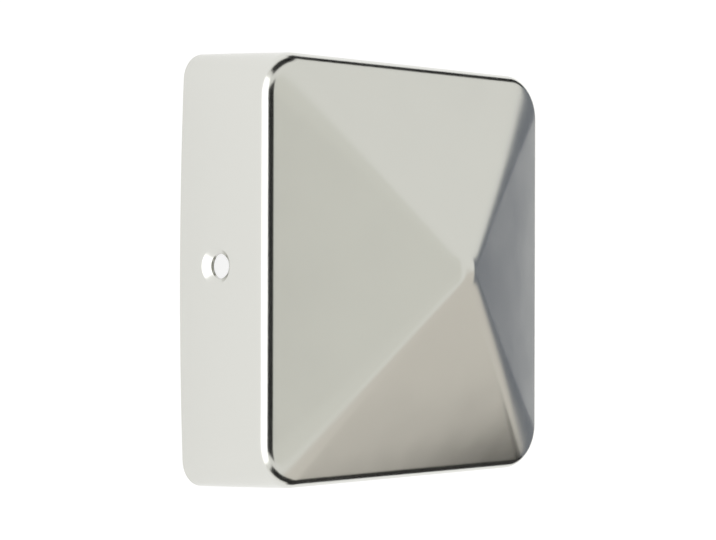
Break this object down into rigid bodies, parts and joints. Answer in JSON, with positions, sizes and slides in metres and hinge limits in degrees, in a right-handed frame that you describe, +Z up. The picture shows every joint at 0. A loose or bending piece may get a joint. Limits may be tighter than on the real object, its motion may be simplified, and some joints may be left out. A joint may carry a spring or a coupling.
{
  "type": "pyramid post cap",
  "caption": "Square pyramid cap with a short flared skirt, pressed from polished sheet steel, with dimpled screw holes in opposite walls.",
  "frame": {"origin": "middle of the open mouth, in the plane of the rim", "axes": "+Z up through the point, -Y out of the screw hole in the front wall, +X to the right of that wall"},
  "size_m": [0.0954, 0.0954, 0.0408],
  "materials": {
    "bright_steel": "polished"
  },
  "bodies": {
    "root": {"post_cap": "bright_steel"}
  },
  "joints": []
}
